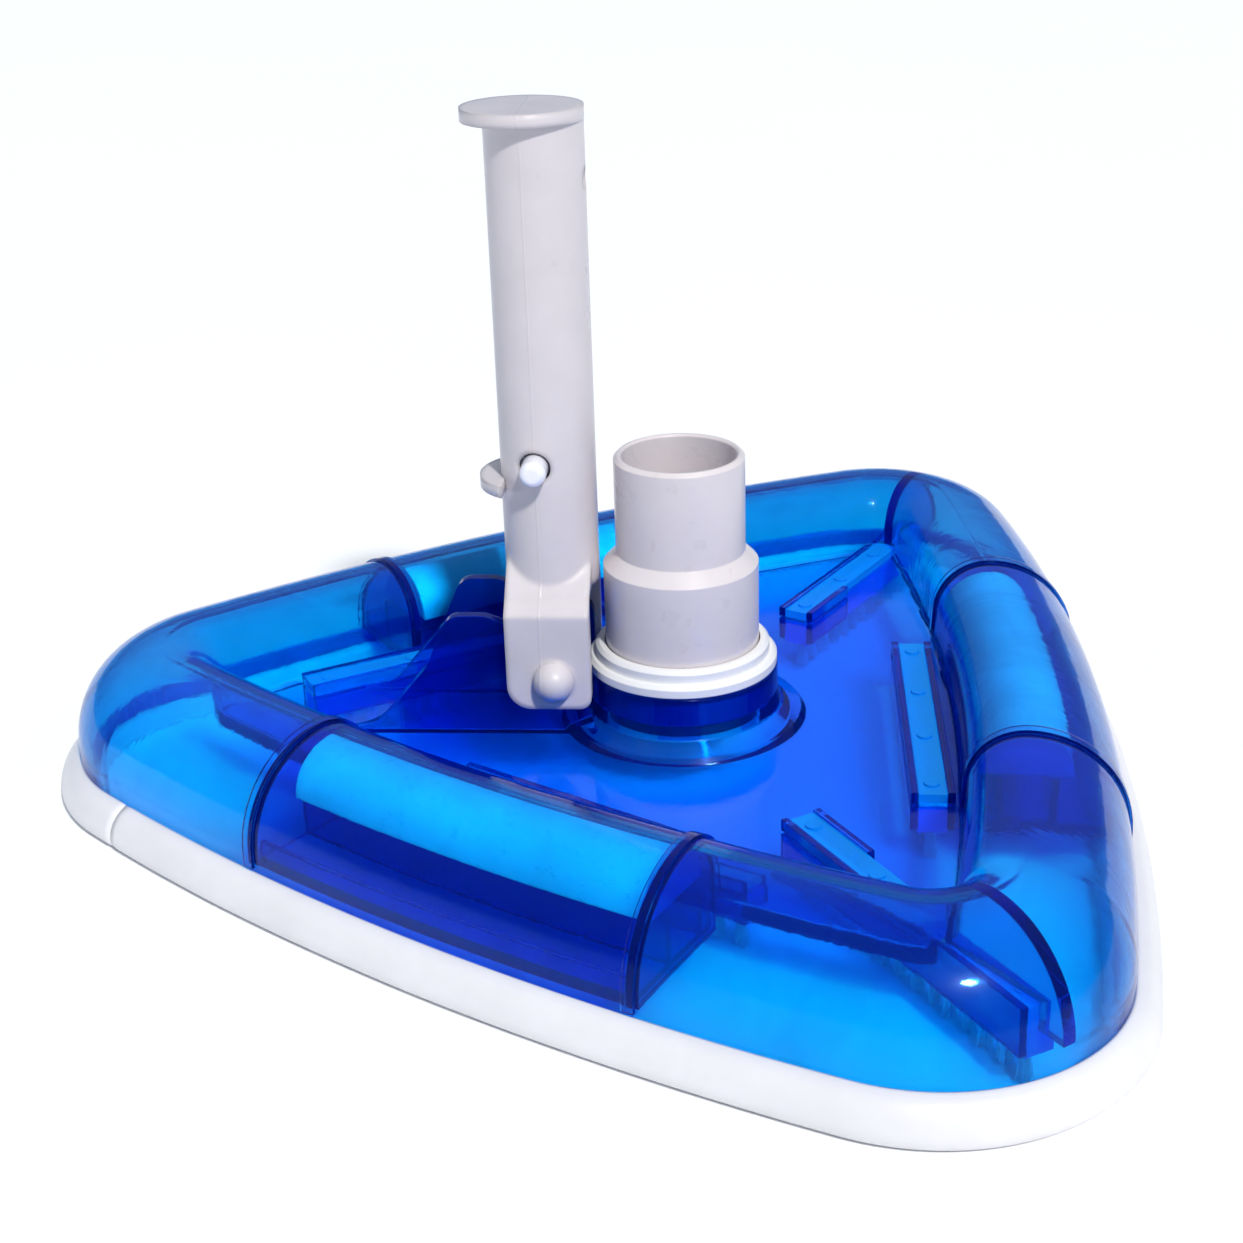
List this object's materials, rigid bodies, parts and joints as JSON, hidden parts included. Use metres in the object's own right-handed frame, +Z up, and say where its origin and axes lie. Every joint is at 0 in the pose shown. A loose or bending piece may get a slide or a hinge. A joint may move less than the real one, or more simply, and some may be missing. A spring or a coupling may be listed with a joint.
{
  "type": "manual pool vacuum head",
  "caption": "Clear triangular weighted pool vacuum head with vinyl bumper, underside brush strips, swivelling stepped hose cuff and a hinged pole handle with sprung clip buttons.",
  "frame": {"origin": "centre of the head's footprint, on the floor under the bumper", "axes": "+Z up, +X towards the long leading side and away from the tail corner, +Y towards the head's left; the handle hinge lies along Y"},
  "size_m": [0.2712, 0.303, 0.1689],
  "materials": {
    "clear_blue_shell": "gloss",
    "clear_blue_cover": "gloss",
    "bumper_vinyl": "satin",
    "collar_plastic": "satin",
    "white_plastic": "satin",
    "seal_rubber": "matte",
    "pin_steel": "brushed",
    "spring_steel": "brushed",
    "button_plastic": "gloss",
    "ballast": "matte",
    "brush_bar": "satin",
    "bristle": "matte"
  },
  "bodies": {
    "head": {"shell": "clear_blue_shell", "bumper": "bumper_vinyl", "chamber_cover_leading": "clear_blue_cover", "chamber_cover_right": "clear_blue_cover", "chamber_cover_left": "clear_blue_cover", "ballast_leading": "ballast", "ballast_right": "ballast", "ballast_left": "ballast", "brush_bar_leading": "brush_bar", "brush_bar_right": "brush_bar", "brush_bar_left": "brush_bar", "brush_bar_right_corner": "brush_bar", "brush_bar_left_corner": "brush_bar", "bristles_leading": "bristle", "bristles_right": "bristle", "bristles_left": "bristle", "bristles_right_corner": "bristle", "bristles_left_corner": "bristle", "swivel_collar": "collar_plastic"},
    "cuff": {"hose_cuff": "white_plastic", "swivel_washer": "seal_rubber"},
    "handle": {"handle": "white_plastic", "hinge_pin": "pin_steel", "clip_spring": "spring_steel"},
    "button_right": {"clip_button_right": "button_plastic"},
    "button_left": {"clip_button_left": "button_plastic"}
  },
  "joints": [
    {"name": "cuff_swivel", "type": "hinge", "parent": "head", "child": "cuff", "pos_m": [0.0245, 0, 0.0386], "axis": [0, 0, 1], "continuous": true},
    {"name": "handle_hinge", "type": "hinge", "parent": "head", "child": "handle", "pos_m": [-0.006, 0, 0.0343], "axis": [0, 1, 0], "range_deg": [-17, 0]},
    {"name": "button_right_press", "type": "slide", "parent": "handle", "child": "button_right", "axis": [0, 1, 0], "range_m": [0, 0.0048], "stiffness_N_per_m": 900, "deforming": ["clip_spring"]},
    {"name": "button_left_press", "type": "slide", "parent": "handle", "child": "button_left", "axis": [0, -1, 0], "range_m": [0, 0.0048], "stiffness_N_per_m": 900, "deforming": ["clip_spring"]}
  ]
}
